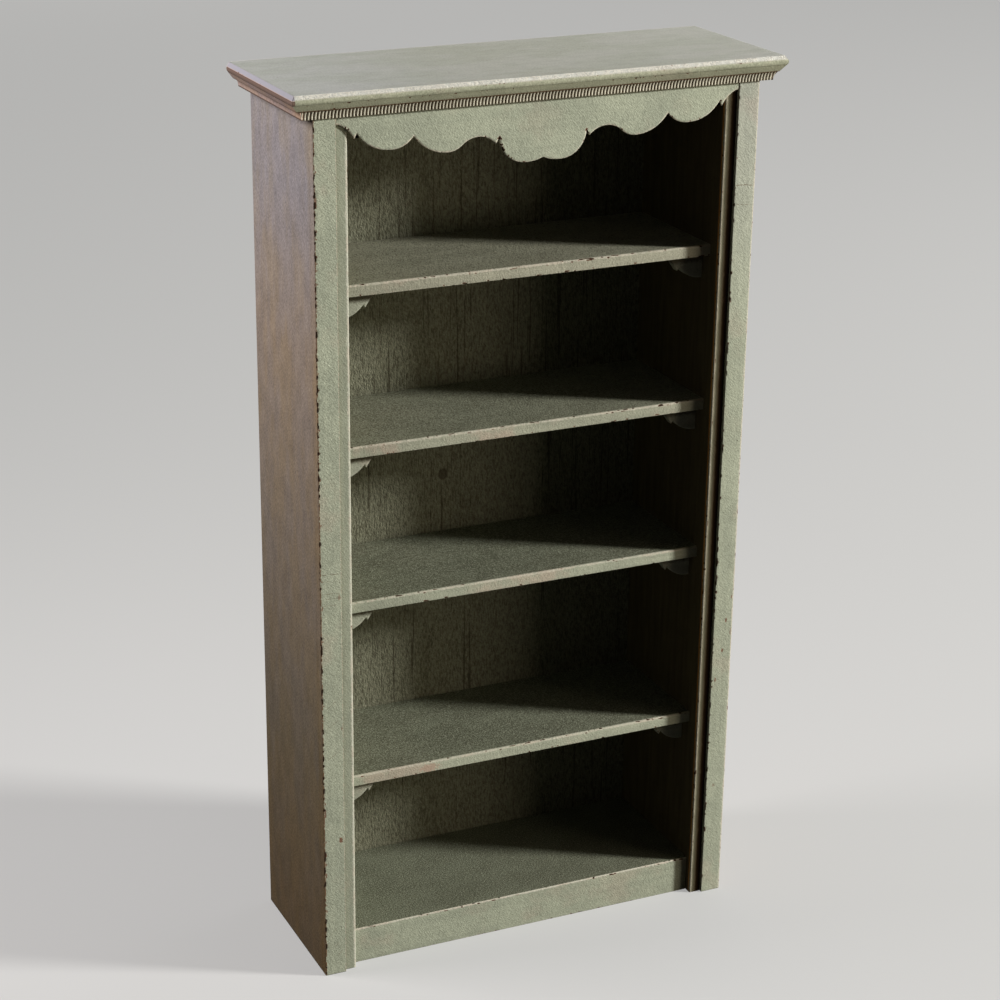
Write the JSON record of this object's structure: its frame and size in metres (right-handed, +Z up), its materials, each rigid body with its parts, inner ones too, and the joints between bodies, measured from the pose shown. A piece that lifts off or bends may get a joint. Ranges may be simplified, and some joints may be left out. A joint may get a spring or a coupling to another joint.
{
  "type": "bookcase",
  "caption": "Tall open bookcase in painted pine: boxed sides, fixed shelves on scalloped brackets, a scalloped valance and a moulded, reeded cornice.",
  "frame": {"origin": "on the floor, under the middle of the whole outline seen from above", "axes": "+Z up, front faces -Y, +X to the right as seen in the direction +Y, along the shelves"},
  "size_m": [1.003, 0.3565, 1.8],
  "materials": {
    "front_paint": "matt sage green paint on pine, rubbed and chipped at the edges",
    "shelf_paint": "matt sage green paint on pine, rubbed along the front edge",
    "back_paint": "matt sage green paint over open vertical grain",
    "side_paint": "worn taupe brown wash on pine",
    "bare_pine": "sawn unfinished pine",
    "steel": "plated steel"
  },
  "bodies": {
    "root": {"back_panel": "back_paint", "bottom_rail": "front_paint", "bottom_shelf": "shelf_paint", "bracket_1_left": "front_paint", "bracket_1_right": "front_paint", "bracket_2_left": "front_paint", "bracket_2_right": "front_paint", "bracket_3_left": "front_paint", "bracket_3_right": "front_paint", "bracket_4_left": "front_paint", "bracket_4_right": "front_paint", "cornice_front": "front_paint", "cornice_left": "side_paint", "cornice_right": "side_paint", "front_batten_left": "bare_pine", "front_batten_right": "bare_pine", "inner_side_left": "front_paint", "inner_side_right": "front_paint", "rear_batten_left": "bare_pine", "rear_batten_right": "bare_pine", "reeded_trim_front": "front_paint", "shelf_1": "shelf_paint", "shelf_2": "shelf_paint", "shelf_3": "shelf_paint", "shelf_4": "shelf_paint", "side_panel_left": "side_paint", "side_panel_right": "side_paint", "stile_left": "front_paint", "stile_right": "front_paint", "top_board": "front_paint", "top_rail_front": "bare_pine", "top_rail_rear": "bare_pine", "top_screws": "steel", "trim_return_left": "side_paint", "trim_return_right": "side_paint", "valance": "front_paint"}
  },
  "joints": []
}
